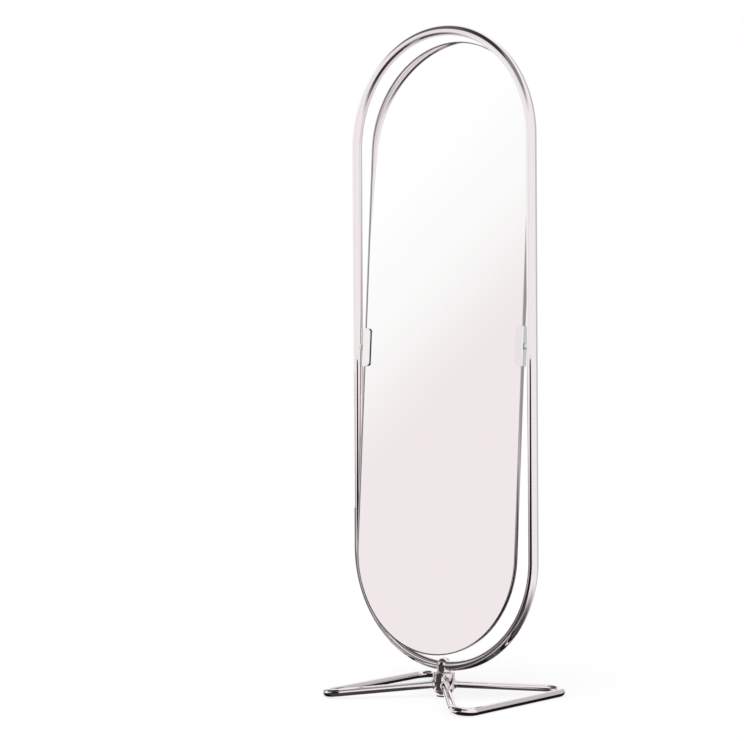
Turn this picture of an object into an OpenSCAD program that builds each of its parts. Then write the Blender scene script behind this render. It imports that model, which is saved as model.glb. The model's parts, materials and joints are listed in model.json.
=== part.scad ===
// Free-standing tilting floor mirror.
// A tall oval hoop of chromed tube stands on a cast hub with two triangular
// tube wings, and an oval mirror panel turns in the hoop on two side pivots.
// Millimetres, +Z up, mirror faces -Y, origin on the floor under the hub.

/* [Frame hoop] */
// Outside width of the tubular hoop
frame_w = 600; // [540:10:680]
// Outside height of the tubular hoop
frame_h = 1654; // [1400:2:1800]
// Height of the hoop's lowest point above the floor
frame_lift = 66; // [64:1:76]
// Outside diameter of the hoop tube
frame_tube_d = 27; // [24:0.5:30]
// Wall of the hoop tube
frame_wall = 1.5; // [1.2:0.1:2]
// Angle of the two hoop joints, measured from straight down
joint_angle = 35; // [28:1:50]
// Length of a joint spigot
spigot_len = 64; // [40:2:90]
// Wall of a joint spigot
spigot_wall = 3; // [2:0.5:4]
// Width of the spigot's shoulder, which shows as a ring between the tubes
shoulder_w = 2.5; // [1:0.5:4]
// How far the shoulder stands out of the tube
shoulder_proud = 0.3; // [0.1:0.1:1]
// Radial play of a spigot in the tube
spigot_play = 0.1; // [0.05:0.05:0.3]
// Diameter of the grub screws that lock the spigots
spigot_screw_d = 5; // [4:0.5:6]
// Length of the grub screws that lock the spigots
spigot_screw_len = 6; // [4:0.5:8]

/* [Base wings] */
// Distance from the hub axis to a wing's outer bar, centre line
wing_reach = 237.4; // [200:0.2:280]
// Distance from the middle of an outer bar to its corner, centre line
wing_half_span = 253.4; // [200:0.2:280]
// Outside diameter of the wing tube
wing_tube_d = 20; // [18:0.5:22]
// Wall of the wing tube
wing_wall = 1.5; // [1.2:0.1:2]
// Bend radius of the wing's corners, centre line
wing_bend_r = 32; // [26:1:50]
// Height of the four sockets at the hub axis
socket_z = 33; // [31:0.5:35]

/* [Hub] */
// Wall of the hub post beside the hoop tube
post_wall = 5; // [4:0.5:7]
// Thickness of the domed crown over the hoop tube
crown_wall = 8; // [6:0.5:10]
// Diameter of the hub drum that holds the sockets
drum_d = 57; // [54:0.5:62]
// Step between the drum's top and the hoop tube
drum_step = 3; // [2:0.5:5]
// Edge radius at the top of the drum
drum_top_r = 3; // [2:0.5:5]
// Edge radius at the bottom of the drum
drum_bottom_r = 14; // [10:0.5:14]
// Diameter of the hub's foot
foot_d = 38; // [34:0.5:42]
// Height of the hub's foot above the pad
foot_h = 4; // [3:0.5:6]
// Thickness of the rubber pad under the foot
pad_t = 3; // [2:0.5:4]
// Distance from the hub axis to the blind end of a socket
socket_start = 14; // [13:0.5:16]
// How far a socket's collar stands out of the drum
collar_proud = 2.5; // [1:0.5:4]
// Wall of a socket's collar
collar_wall = 2.5; // [2:0.5:4]
// Radial play of a tube in its hub bore
tube_play = 0.05; // [0.03:0.01:0.2]
// Diameter of the bolt that holds the hoop in the hub
hub_bolt_d = 8; // [6:1:8]
// Depth of the bolt head's counterbore above the foot
counterbore_h = 14; // [12:1:16]
// Diameter of the grub screws that lock the wings
wing_screw_d = 6; // [5:0.5:6]
// Length of the grub screws that lock the wings
wing_screw_len = 8; // [6:1:10]

/* [Mirror panel] */
// Gap between the panel's rim and the hoop tube
panel_gap = 13; // [12:0.5:20]
// Height of the pivots above the middle of the hoop
pivot_rise = 4; // [0:1:5]
// Backward lean of the panel
tilt_angle = 3.8; // [0:0.1:10]
// Depth of the rim band, front to back
rim_depth = 12; // [11:0.5:16]
// Thickness of the rim band
rim_t = 2.5; // [2:0.5:3]
// Thickness of the ledge at the back of the rim
ledge_t = 1.5; // [1:0.5:2]
// How far the ledge reaches in behind the board
ledge_w = 10; // [8:1:20]
// Thickness of the backing board
board_t = 3; // [3:0.5:4]
// Thickness of the mounting tape
tape_t = 0.8; // [0.5:0.1:1]
// Width of a strip of mounting tape
tape_w = 25; // [15:1:40]
// Number of strips of mounting tape
tape_count = 5; // [3:1:7]
// Thickness of the mirror glass
glass_t = 4; // [3:0.5:4]
// Play around the glass and the board
glass_play = 0.5; // [0.3:0.1:1]

/* [Pivot clips] */
// Height of a clip
clip_h = 100; // [80:2:120]
// Width of a clip's front and rear plates
clip_w = 24; // [22:0.5:30]
// Thickness of a clip's plates
clip_t = 3; // [2:0.5:4]
// Play between a clip's side wall and the edge of the rim
clip_side_play = 1; // [0.5:0.1:2]
// Corner radius of a clip's plates
clip_corner_r = 12; // [6:1:12]
// Play between a clip and the rim
clip_play = 0.2; // [0.1:0.1:0.5]
// Diameter of a pivot pin
pin_d = 8; // [6:0.5:10]
// Diameter of a pivot pin's shoulder
pin_shoulder_d = 14; // [12:0.5:18]
// Radial play of a pivot pin in its bush
pin_play = 0.06; // [0.03:0.01:0.1]
// Wall of a pivot bush
bush_wall = 1.5; // [1:0.5:2]
// Thickness of a pivot bush's flange
bush_flange_t = 1.5; // [1:0.5:2]
// Depth of a pivot bush inside the tube
bush_depth = 9; // [6:0.5:11]
// End play between a friction washer and its bush
friction_play = 0.3; // [0.2:0.1:0.5]
// Diameter of a friction washer
friction_d = 18; // [16:0.5:22]
// Thickness of a friction washer
friction_t = 2; // [1.5:0.5:3]
// Diameter of the screws that hold a clip
clip_screw_d = 4; // [3:0.5:5]
// Distance between a clip's two screws
clip_screw_pitch = 70; // [50:2:74]

/* [Hidden] */
$fn = 64;
fine_fn = 360;
LEFT = -1;
RIGHT = 1;
over = 1;             // how far a cutter runs past the face it cuts
run_in = 0.5;         // how far a wing's inner bar is drawn into its bend
bar_taper = 0.1;      // how much smaller in radius an inner bar is than its bend
screw_relief = 0.2;   // room round a screw or a bolt, each side
thread_play = 0.01;   // room round a thread, each side
end_gap = 0.4;        // gap left beyond a screw's end
bolt_head_share = 1.6; // a socket head's diameter to its thread's
hex_share = 0.8;      // a socket head's hexagon and height to its thread's

// Hoop
bend_r = (frame_w - frame_tube_d) / 2;
tube_r = frame_tube_d / 2;
low_centre_z = frame_lift + frame_w / 2;
high_centre_z = frame_lift + frame_h - frame_w / 2;
hoop_floor_z = frame_lift + tube_r;
spigot_d = frame_tube_d - 2 * frame_wall - 2 * spigot_play;
spigot_half_angle = spigot_len / 2 / bend_r * 180 / PI;
screw_offset_angle = spigot_half_angle / 2;
shoulder_half_angle = shoulder_w / 2 / bend_r * 180 / PI;
hoop_end_angle = joint_angle + shoulder_half_angle;
arc_end_angle = joint_angle - shoulder_half_angle;

// Wings: each lies in a plane that slopes from the sockets to the floor
wing_r = wing_tube_d / 2;
wing_drop = socket_z - wing_r;
wing_slope = atan(wing_drop / wing_reach);
wing_run = exact(sqrt(pow(wing_reach, 2) + pow(wing_drop, 2)));
wing_angle = atan(wing_half_span / wing_run);
inner_bar_d = wing_tube_d - 2 * bar_taper;
wing_azimuth = atan(wing_half_span / wing_reach);
wing_fall = wing_drop / sqrt(pow(wing_reach, 2) + pow(wing_half_span, 2));

// Hub
post_r = tube_r + post_wall;
drum_r = drum_d / 2;
crown_z = frame_lift + frame_tube_d + crown_wall;
dome_z = crown_z - post_r;
drum_top_z = frame_lift - drum_step;
drum_floor_z = pad_t + foot_h;
collar_d = wing_tube_d + 2 * collar_wall;
bolt_head_h = hub_bolt_d * hex_share;
bolt_head_d = hub_bolt_d * bolt_head_share;
washer_d = hub_bolt_d * 2;
washer_t = 1.6;
nut_t = 6;
nut_len = 26;
screw_edge = 1.5;     // from a wing screw's hole to the drum's widest line
screw_hole_r = drum_r - wing_screw_d / 2 - screw_edge;

// Panel
rim_w = frame_w - 2 * frame_tube_d - 2 * panel_gap;
rim_h = frame_h - 2 * frame_tube_d - 2 * panel_gap;
pivot_z = frame_lift + frame_h / 2 + pivot_rise;
rim_front_y = -rim_depth / 2;
board_back_y = rim_depth / 2 - ledge_t;
tape_back_y = board_back_y - board_t;
glass_back_y = tape_back_y - tape_t;
glass_front_y = glass_back_y - glass_t;
glass_inset = rim_t + glass_play;

// Clips
clip_out_x = rim_w / 2 + clip_side_play + clip_t;
clip_in_x = clip_out_x - clip_w;
clip_depth = rim_depth + 2 * clip_play + 2 * clip_t;
bush_d = pin_d + 2 * bush_wall + 2 * pin_play;
bush_flange_d = friction_d;
tube_face_x = frame_w / 2 - frame_tube_d;
friction_x = tube_face_x - bush_flange_t - friction_play - friction_t;
pin_end_x = tube_face_x + bush_depth - over;

steel = [0.86, 0.86, 0.88];
zinc = [0.7, 0.71, 0.73];
rubber = [0.12, 0.12, 0.12];

// ---- Helpers ----

// A size in whole microns, so that two faces drawn from it meet exactly
function exact(size) = round(size * 1000) / 1000;

// Hollow round tube along +Z
module straight_tube(d, wall, length) {
    difference() {
        cylinder(d = d, h = length);
        translate([0, 0, -over])
            cylinder(d = d - 2 * wall, h = length + 2 * over);
    }
}

// Hollow tube bent round Z, from one angle to another
module bent_tube(r, d, wall, from, to) {
    rotate([0, 0, from])
        rotate_extrude(angle = to - from, $fn = fine_fn)
            translate([r, 0])
                difference() {
                    circle(d = d);
                    circle(d = d - 2 * wall);
                }
}

// Solid bar bent round Z, from one angle to another
module bent_bar(r, d, from, to) {
    rotate([0, 0, from])
        rotate_extrude(angle = to - from, $fn = fine_fn)
            translate([r, 0])
                circle(d = d);
}

// Lays the hoop's own plane upright, with a bend's centre at height z
module upright(z) {
    translate([0, 0, z])
        rotate([90, 0, 0])
            children();
}

// Places a part at an angle along the hoop's bottom arc, facing the rear
module on_bottom_arc(angle) {
    translate([0, 0, low_centre_z])
        rotate([0, -angle, 0])
            translate([0, 0, -bend_r])
                rotate([-90, 0, 0])
                    children();
}

// The four spigot screws, two to a joint
module at_spigot_screws() {
    for (side = [LEFT, RIGHT], step = [-1, 1])
        on_bottom_arc(side * joint_angle + step * screw_offset_angle)
            children();
}

// One hub socket, with +Z along the wing's tube and the hub axis at 0
module along_socket(side, end) {
    translate([0, 0, socket_z])
        rotate([0, 0, side == RIGHT ? 0 : 180])
            rotate([0, wing_slope, 0])
                rotate([0, 0, end * wing_angle])
                    rotate([0, 90, 0])
                        children();
}

module at_sockets() {
    for (side = [LEFT, RIGHT], end = [-1, 1])
        along_socket(side, end)
            children();
}

// Holes under the drum for the screws that lock the wings
module at_wing_screws() {
    for (side = [LEFT, RIGHT], end = [-1, 1])
        rotate([0, 0, (side == RIGHT ? 0 : 180) + end * wing_azimuth])
            translate([screw_hole_r, 0, 0])
                children();
}

// Everything that tilts: drawn upright about its pivot line, then leaned back
module tilted() {
    translate([0, 0, pivot_z])
        rotate([-tilt_angle, 0, 0])
            children();
}

// A long oval plate in the panel's plane, from one depth to another
module oval_plate(width, height, front, back) {
    rotate([-90, 0, 0])
        translate([0, 0, front])
            linear_extrude(height = back - front)
                oval(width, height);
}

module oval(width, height) {
    square([width, height - width], center = true);
    for (end = [-1, 1])
        translate([0, end * (height - width) / 2])
            circle(d = width);
}

// A round bar along +X on the pivot line of one side
module on_pivot(side, x) {
    translate([side * x, 0, 0])
        rotate([0, side * 90, 0])
            children();
}

// ---- Hoop ----

module frame_hoop() {
    color(steel)
        difference() {
            union() {
                upright(high_centre_z)
                    bent_tube(bend_r, frame_tube_d, frame_wall, 0, 180);
                for (side = [LEFT, RIGHT])
                    mirror([side == RIGHT ? 1 : 0, 0, 0]) {
                        translate([-bend_r, 0, low_centre_z])
                            straight_tube(frame_tube_d, frame_wall,
                                high_centre_z - low_centre_z);
                        upright(low_centre_z)
                            bent_tube(bend_r, frame_tube_d, frame_wall, 180, 270 - hoop_end_angle);
                    }
            }
            for (side = [LEFT, RIGHT])
                translate([0, 0, pivot_z])
                    on_pivot(side, tube_face_x - over)
                        cylinder(d = bush_d, h = tube_r);
            at_spigot_screws()
                cylinder(d = spigot_screw_d, h = frame_tube_d);
        }
}

module frame_bottom_arc() {
    color(steel)
        difference() {
            upright(low_centre_z)
                bent_tube(bend_r, frame_tube_d, frame_wall, 270 - arc_end_angle, 270 + arc_end_angle);
            translate([0, 0, frame_lift - over])
                cylinder(d = hub_bolt_d + 2 * tube_play, h = tube_r);
            at_spigot_screws()
                cylinder(d = spigot_screw_d, h = frame_tube_d);
        }
}

module hoop_spigot(side) {
    middle = 270 + side * joint_angle;
    color(zinc)
        difference() {
            upright(low_centre_z) {
                bent_tube(bend_r, spigot_d, spigot_wall,
                    middle - spigot_half_angle, middle + spigot_half_angle);
                bent_tube(bend_r, frame_tube_d + 2 * shoulder_proud, 2 * spigot_wall,
                    middle - shoulder_half_angle, middle + shoulder_half_angle);
            }
            at_spigot_screws()
                cylinder(d = spigot_screw_d, h = frame_tube_d);
        }
}

module spigot_screws() {
    color(zinc)
        at_spigot_screws()
            translate([0, 0, tube_r - spigot_screw_len])
                grub_screw(spigot_screw_d - 2 * tube_play, spigot_screw_len - end_gap);
}

// Headless screw with a hexagon socket in its outer end
module grub_screw(d, length) {
    difference() {
        cylinder(d = d, h = length);
        translate([0, 0, length / 2])
            cylinder(d = d / 2, h = length, $fn = 6);
    }
}

// ---- Hub ----

// Half outline of the hub's turned body: foot, drum, fillet, post and dome
module hub_outline() {
    translate([0, pad_t])
        square([foot_d / 2, foot_h + drum_bottom_r]);
    translate([0, drum_floor_z])
        square([drum_r - drum_bottom_r, drum_top_z - drum_floor_z]);
    translate([0, drum_floor_z + drum_bottom_r])
        square([drum_r, drum_top_z - drum_top_r - drum_floor_z - drum_bottom_r]);
    translate([0, drum_top_z - drum_top_r - over])
        square([drum_r - drum_top_r, drum_top_r + over]);
    translate([drum_r - drum_bottom_r, drum_floor_z + drum_bottom_r])
        circle(r = drum_bottom_r);
    translate([drum_r - drum_top_r, drum_top_z - drum_top_r])
        circle(r = drum_top_r);
    translate([0, drum_top_z - over])
        square([post_r, dome_z - drum_top_z + over]);
    intersection() {
        translate([0, dome_z])
            circle(r = post_r);
        translate([0, drum_top_z])
            square([post_r, crown_z]);
    }
}

module hub_body() {
    color(steel)
        difference() {
            union() {
                rotate_extrude()
                    hub_outline();
                at_sockets()
                    translate([0, 0, socket_start])
                        cylinder(d = collar_d, h = drum_r + collar_proud - socket_start);
            }
            // bore for the hoop, curved like the hoop
            upright(low_centre_z)
                bent_bar(bend_r, frame_tube_d + 2 * tube_play, 255, 285);
            at_sockets()
                translate([0, 0, socket_start])
                    cylinder(d = inner_bar_d + 2 * tube_play, h = drum_r);
            // bolt hole with a counterbore from below
            translate([0, 0, pad_t - over])
                cylinder(d = hub_bolt_d + 2 * tube_play, h = hoop_floor_z - pad_t);
            translate([0, 0, pad_t - over])
                cylinder(d = washer_d + 2 * screw_relief, h = counterbore_h + over);
            at_wing_screws()
                translate([0, 0, pad_t - over])
                    cylinder(d = wing_screw_d, h = socket_z - pad_t);
        }
}

module hub_foot_pad() {
    color(rubber)
        difference() {
            cylinder(d = foot_d, h = pad_t);
            translate([0, 0, -over])
                cylinder(d = washer_d + 2 * screw_relief, h = pad_t + 2 * over);
        }
}

module hub_bolt() {
    head_top_z = pad_t + counterbore_h - washer_t;
    color(zinc)
        difference() {
            union() {
                translate([0, 0, head_top_z - bolt_head_h])
                    cylinder(d = bolt_head_d, h = bolt_head_h);
                translate([0, 0, head_top_z])
                    cylinder(d = hub_bolt_d, h = hoop_floor_z - head_top_z);
            }
            translate([0, 0, head_top_z - bolt_head_h - over])
                cylinder(d = hub_bolt_d * hex_share, h = bolt_head_h / 2 + over, $fn = 6);
        }
}

module hub_bolt_washer() {
    color(zinc)
        translate([0, 0, pad_t + counterbore_h - washer_t])
            difference() {
                cylinder(d = washer_d, h = washer_t);
                translate([0, 0, -over])
                    cylinder(d = hub_bolt_d + 2 * screw_relief, h = washer_t + 2 * over);
            }
}

// Threaded block inside the tube, curved to bed on the tube's lower wall
module hub_saddle_nut() {
    inner_d = frame_tube_d - 2 * frame_wall - 2 * spigot_play;
    color(zinc)
        difference() {
            intersection() {
                upright(low_centre_z)
                    bent_bar(bend_r, inner_d, 260, 280);
                translate([-nut_len / 2, -inner_d, frame_lift])
                    cube([nut_len, 2 * inner_d, frame_wall + nut_t]);
            }
            cylinder(d = hub_bolt_d + 2 * thread_play, h = crown_z);
        }
}

// ---- Wings ----

module base_wing(side) {
    half_turn = (90 + wing_angle) / 2;
    set_back = wing_bend_r * tan(half_turn);
    bar_start = socket_start + tube_play;
    bar_end = wing_run / cos(wing_angle) - set_back + run_in;
    outer_half = exact(wing_half_span - set_back);
    color(steel)
        translate([0, 0, socket_z])
            rotate([0, 0, side == RIGHT ? 0 : 180])
                rotate([0, wing_slope, 0]) {
                    for (end = [-1, 1]) {
                        rotate([0, 0, end * wing_angle])
                            rotate([0, 90, 0])
                                translate([0, 0, bar_start])
                                    straight_tube(inner_bar_d, wing_wall - 2 * bar_taper,
                                        bar_end - bar_start);
                        mirror([0, end > 0 ? 0 : 1, 0])
                            translate([wing_run - wing_bend_r, outer_half, 0])
                                bent_tube(wing_bend_r, wing_tube_d, wing_wall,
                                    0, 90 + wing_angle);
                    }
                    translate([wing_run, -outer_half, 0])
                        rotate([-90, 0, 0])
                            straight_tube(wing_tube_d, wing_wall, 2 * outer_half);
                }
}

module wing_grub_screws() {
    outer_edge_r = screw_hole_r + wing_screw_d / 2;
    top_z = socket_z - outer_edge_r * wing_fall
        - inner_bar_d / 2 / cos(atan(wing_fall)) - tube_play;
    color(zinc)
        at_wing_screws()
            translate([0, 0, top_z])
                mirror([0, 0, 1])
                    grub_screw(wing_screw_d - 2 * tube_play, wing_screw_len);
}

// ---- Panel ----

module rim_band() {
    color(steel)
        tilted()
            difference() {
                oval_plate(rim_w, rim_h, rim_front_y, rim_depth / 2);
                oval_plate(rim_w - 2 * rim_t, rim_h - 2 * rim_t, rim_front_y - over, board_back_y);
                oval_plate(rim_w - 2 * rim_t - 2 * ledge_w, rim_h - 2 * rim_t - 2 * ledge_w,
                    0, rim_depth);
                at_clip_screws()
                    cylinder(d = clip_screw_d, h = rim_depth);
            }
}

module backing_board() {
    color([0.45, 0.33, 0.22])
        tilted()
            difference() {
                oval_plate(rim_w - 2 * glass_inset, rim_h - 2 * glass_inset,
                    tape_back_y, board_back_y);
                at_clip_screws()
                    cylinder(d = clip_screw_d, h = rim_depth);
            }
}

module mounting_tape() {
    tape_pitch = (rim_w - 2 * tape_w) / tape_count;
    color([0.9, 0.9, 0.88])
        tilted()
            for (i = [0 : tape_count - 1]) {
                x = (i - (tape_count - 1) / 2) * tape_pitch;
                translate([x - tape_w / 2, glass_back_y, -(rim_h - rim_w) / 2])
                    cube([tape_w, tape_t, rim_h - rim_w]);
            }
}

module mirror_glass() {
    color([0.93, 0.94, 0.95])
        tilted()
            oval_plate(rim_w - 2 * glass_inset, rim_h - 2 * glass_inset,
                glass_front_y, glass_back_y);
}

// ---- Pivot clips ----

module at_clip_screws() {
    for (side = [LEFT, RIGHT], end = [-1, 1])
        translate([side * (rim_w / 2 - rim_t - ledge_w / 2), 0, end * clip_screw_pitch / 2])
            rotate([-90, 0, 0])
                children();
}

// Outline of a clip's plate: square at the hoop, rounded on the panel
module clip_outline() {
    translate([clip_in_x, -(clip_h / 2 - clip_corner_r)])
        square([clip_w, clip_h - 2 * clip_corner_r]);
    translate([clip_in_x + clip_corner_r, -clip_h / 2])
        square([clip_w - clip_corner_r, clip_h]);
    for (end = [-1, 1])
        translate([clip_in_x + clip_corner_r, end * (clip_h / 2 - clip_corner_r)])
            circle(r = clip_corner_r);
}

module clip_slab(front, back) {
    rotate([-90, 0, 0])
        translate([0, 0, front])
            linear_extrude(height = back - front)
                clip_outline();
}

module clip_channel(side) {
    inside = rim_depth / 2 + clip_play;
    color(steel)
        tilted()
            mirror([side == LEFT ? 1 : 0, 0, 0])
                difference() {
                    clip_slab(-clip_depth / 2, clip_depth / 2);
                    translate([0, -inside, -clip_h])
                        cube([clip_out_x - clip_t, 2 * inside, 2 * clip_h]);
                    on_pivot(RIGHT, clip_out_x - clip_t - over)
                        cylinder(d = pin_d + 2 * thread_play, h = clip_t + 2 * over);
                    at_clip_screws()
                        cylinder(d = clip_screw_d + screw_relief, h = clip_depth);
                }
}

// Soft filler between the front plate and the glass
module clip_pad(side) {
    front = rim_front_y - clip_play;
    color(rubber)
        tilted()
            mirror([side == LEFT ? 1 : 0, 0, 0])
                intersection() {
                    clip_slab(front, glass_front_y);
                    translate([0, front, -clip_h])
                        cube([rim_w / 2 - rim_t - glass_play, rim_depth, 2 * clip_h]);
                }
}

module clip_screws() {
    head_h = clip_screw_d / 2;
    color(zinc)
        tilted()
            at_clip_screws() {
                translate([0, 0, tape_back_y + end_gap])
                    cylinder(d = clip_screw_d - 2 * tube_play,
                        h = clip_depth / 2 - tape_back_y - end_gap);
                translate([0, 0, clip_depth / 2])
                    difference() {
                        cylinder(d = 2 * clip_screw_d, h = head_h);
                        translate([0, 0, head_h / 2])
                            cylinder(d = clip_screw_d, h = head_h, $fn = 6);
                    }
            }
}

// Shouldered pin, its tail riveted into the clip's side
module pivot_pin(side) {
    tail_x = clip_out_x - clip_t;
    color(zinc)
        tilted() {
            on_pivot(side, tail_x)
                cylinder(d = pin_d, h = pin_end_x - tail_x);
            on_pivot(side, clip_out_x)
                cylinder(d = pin_shoulder_d, h = friction_x - clip_out_x);
        }
}

module friction_washer(side) {
    color(rubber)
        tilted()
            on_pivot(side, friction_x)
                difference() {
                    cylinder(d = friction_d, h = friction_t);
                    translate([0, 0, -over])
                        cylinder(d = pin_d + 2 * screw_relief, h = friction_t + 2 * over);
                }
}

module pivot_bush(side) {
    flange_x = tube_face_x - bush_flange_t;
    color([0.92, 0.91, 0.87])
        translate([0, 0, pivot_z])
            on_pivot(side, flange_x)
                difference() {
                    union() {
                        difference() {
                            cylinder(d = bush_flange_d, h = bush_flange_t + tube_r);
                            translate([-bush_flange_d, 0, bush_flange_t + tube_r])
                                rotate([0, 90, 0])
                                    cylinder(r = tube_r + tube_play, h = 2 * bush_flange_d);
                        }
                        cylinder(d = bush_d - 2 * tube_play, h = bush_flange_t + bush_depth);
                    }
                    translate([0, 0, -over])
                        cylinder(d = pin_d + 2 * pin_play, h = bush_flange_t + bush_depth + 2 * over);
                }
}

frame_hoop();
frame_bottom_arc();
hoop_spigot(LEFT);  // hoop_spigot_left
hoop_spigot(RIGHT);  // hoop_spigot_right
spigot_screws();
hub_body();
hub_foot_pad();
hub_bolt();
hub_bolt_washer();
hub_saddle_nut();
base_wing(LEFT);  // base_wing_left
base_wing(RIGHT);  // base_wing_right
wing_grub_screws();
pivot_bush(LEFT);  // pivot_bush_left
pivot_bush(RIGHT);  // pivot_bush_right
rim_band();
backing_board();
mounting_tape();
mirror_glass();
clip_channel(LEFT);  // clip_channel_left
clip_channel(RIGHT);  // clip_channel_right
clip_pad(LEFT);  // clip_pad_left
clip_pad(RIGHT);  // clip_pad_right
clip_screws();
pivot_pin(LEFT);  // pivot_pin_left
pivot_pin(RIGHT);  // pivot_pin_right
friction_washer(LEFT);  // friction_washer_left
friction_washer(RIGHT);  // friction_washer_right
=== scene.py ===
"""Looks of the tilting floor mirror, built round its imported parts.

Metres, +Z up, the mirror faces -Y, the origin is on the floor under the hub.
"""

import json
import math

import bmesh
import bpy
from mathutils import Euler, Matrix, Vector


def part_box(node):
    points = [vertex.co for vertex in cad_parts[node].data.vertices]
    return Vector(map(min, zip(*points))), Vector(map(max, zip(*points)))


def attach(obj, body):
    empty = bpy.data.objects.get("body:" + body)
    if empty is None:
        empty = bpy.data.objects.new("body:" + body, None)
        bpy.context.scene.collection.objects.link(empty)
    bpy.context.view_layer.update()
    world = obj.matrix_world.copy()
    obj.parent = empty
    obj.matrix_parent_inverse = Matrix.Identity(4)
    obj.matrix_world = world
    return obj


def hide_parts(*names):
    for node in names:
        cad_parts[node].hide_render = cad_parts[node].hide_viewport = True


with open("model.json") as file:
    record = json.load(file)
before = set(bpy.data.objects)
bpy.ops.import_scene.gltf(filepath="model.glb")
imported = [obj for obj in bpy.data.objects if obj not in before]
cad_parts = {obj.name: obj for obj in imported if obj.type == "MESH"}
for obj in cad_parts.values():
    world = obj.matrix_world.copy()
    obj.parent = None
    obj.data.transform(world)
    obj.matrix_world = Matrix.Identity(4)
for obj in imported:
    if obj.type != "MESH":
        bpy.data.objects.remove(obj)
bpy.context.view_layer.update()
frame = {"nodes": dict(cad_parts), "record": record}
MM = 0.001
LEFT, RIGHT = -1, 1

# ---- Sizes ----

hoop_low, hoop_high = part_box("frame_hoop")
arc_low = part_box("frame_bottom_arc")[0]
TUBE_D = 27 * MM
TUBE_WALL = 1.5 * MM
HOOP_BEND = (hoop_high[0] - hoop_low[0] - TUBE_D) / 2
LOW_CENTRE = arc_low[2] + TUBE_D / 2 + HOOP_BEND
HIGH_CENTRE = hoop_high[2] - TUBE_D / 2 - HOOP_BEND
JOINT_ANGLE = math.radians(35)        # of the hoop's two joints, from straight down
SHOULDER_W = 2.5 * MM
SHOULDER_PROUD = 0.3 * MM
SHOULDER_ROOT = TUBE_D / 2 - 3 * MM
SPIGOT_LEN = 64 * MM
SPIGOT_WALL = 3 * MM
SPIGOT_PLAY = 0.2 * MM
SPIGOT_SCREW_D = 5 * MM
GRUB_LEN = 5.6 * MM
GRUB_START = TUBE_D / 2 - 6 * MM      # behind the tube's middle
SCREW_PLAY = 0.1 * MM
ARC_STEP = math.radians(2)            # between the rings of a bent tube
TUBE_SIDES = 48

WING_D = 20 * MM
WING_WALL = 1.5 * MM
WING_BEND = 32 * MM
WING_REACH = 237.4 * MM
WING_HALF_SPAN = 253.4 * MM
SOCKET_Z = 33 * MM
SOCKET_START = 14 * MM
WING_DROP = SOCKET_Z - WING_D / 2
WING_RUN = math.hypot(WING_REACH, WING_DROP)
WING_SLOPE = math.atan2(WING_DROP, WING_REACH)
WING_ANGLE = math.atan2(WING_HALF_SPAN, WING_RUN)
WING_AZIMUTH = math.atan2(WING_HALF_SPAN, WING_REACH)
WING_SCREW_D = 6 * MM
WING_SCREW_R = 24 * MM

PAD_T = 3 * MM
FOOT_R = 19 * MM
FOOT_TOP = 7 * MM
DRUM_R = 28.5 * MM
DRUM_TOP = 63 * MM
DRUM_BOTTOM_FILLET = 14 * MM
DRUM_TOP_FILLET = 3 * MM
FILLET_STEPS = 12
DOME_STEPS = 16
POST_R = 18.5 * MM
CROWN_Z = 101 * MM
POST_FILLET = 2 * MM
COLLAR_R = 12.5 * MM
COLLAR_END = 31 * MM
COUNTERBORE_R = 8.2 * MM
COUNTERBORE_TOP = 17 * MM
BORE_PLAY = 0.05 * MM

rim_low, rim_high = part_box("rim_band")
PIVOT_Z = frame["record"]["behaviour"]["joints"][0]["pos_m"][2]
TILT = math.radians(3.8)
RIM_W = rim_high[0] - rim_low[0]
RIM_H = 1574 * MM
RIM_T = 2.5 * MM
RIM_DEPTH = 12 * MM
LEDGE_W = 10 * MM
LEDGE_T = 1.5 * MM
GLASS_PLAY = 0.5 * MM
GLASS_FRONT = -3.3 * MM
GLASS_T = 4 * MM
OVAL_STEPS = 90                       # along each half-round end

CLIP_H = 100 * MM
CLIP_W = 24 * MM
CLIP_T = 3 * MM
CLIP_DEPTH = RIM_DEPTH + 6.4 * MM
CLIP_OUT = RIM_W / 2 + 4 * MM
CLIP_CORNER = 12 * MM
CLIP_BEND = 2.5 * MM
CLIP_PLATE_EASE = 0.8 * MM
CLIP_EDGE = 0.4 * MM
CLIP_SCREW_D = 4 * MM
CLIP_SCREW_PITCH = 70 * MM
CLIP_SCREW_X = RIM_W / 2 - RIM_T - LEDGE_W / 2
PIN_D = 8 * MM
SHOULDER_D = 14 * MM
WASHER_D = 18 * MM
WASHER_T = 2 * MM
WASHER_PLAY = 0.3 * MM
WASHER_BORE_PLAY = 0.2 * MM
BUSH_FLANGE_T = 1.5 * MM
BUSH_DEPTH = 9 * MM
BUSH_WALL = 1.5 * MM
TUBE_FACE = hoop_high[0] - TUBE_D
FLANGE_START = TUBE_FACE - BUSH_FLANGE_T
BUSH_LEN = BUSH_FLANGE_T + BUSH_DEPTH
WASHER_START = FLANGE_START - WASHER_PLAY - WASHER_T
PIN_END = TUBE_FACE + BUSH_DEPTH - MM
RUNNING_PLAY = 0.06 * MM              # of the pin in its bush
CLIP_SCREW_TIP = -7.3 * MM

# ---- Camera: where the photograph was taken from, in the mirror's own frame ----

CAMERA_PLACE = (3.3459, -4.1348, 0.8884)
CAMERA_TURN = (89.450, 0.332, 40.919)  # degrees
CAMERA_LENS = 100.29  # mm, on a 36 mm wide sensor

camera_data = bpy.data.cameras.new("camera")
camera_data.lens = CAMERA_LENS
camera_data.sensor_width = 36
camera_data.clip_start, camera_data.clip_end = 0.1, 100
camera = bpy.data.objects.new("camera", camera_data)
camera.location = CAMERA_PLACE
camera.rotation_euler = Euler([math.radians(a) for a in CAMERA_TURN])
bpy.context.collection.objects.link(camera)
bpy.context.scene.camera = camera
bpy.context.scene.view_settings.view_transform = "Standard"


# ---- Helpers ----

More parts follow.
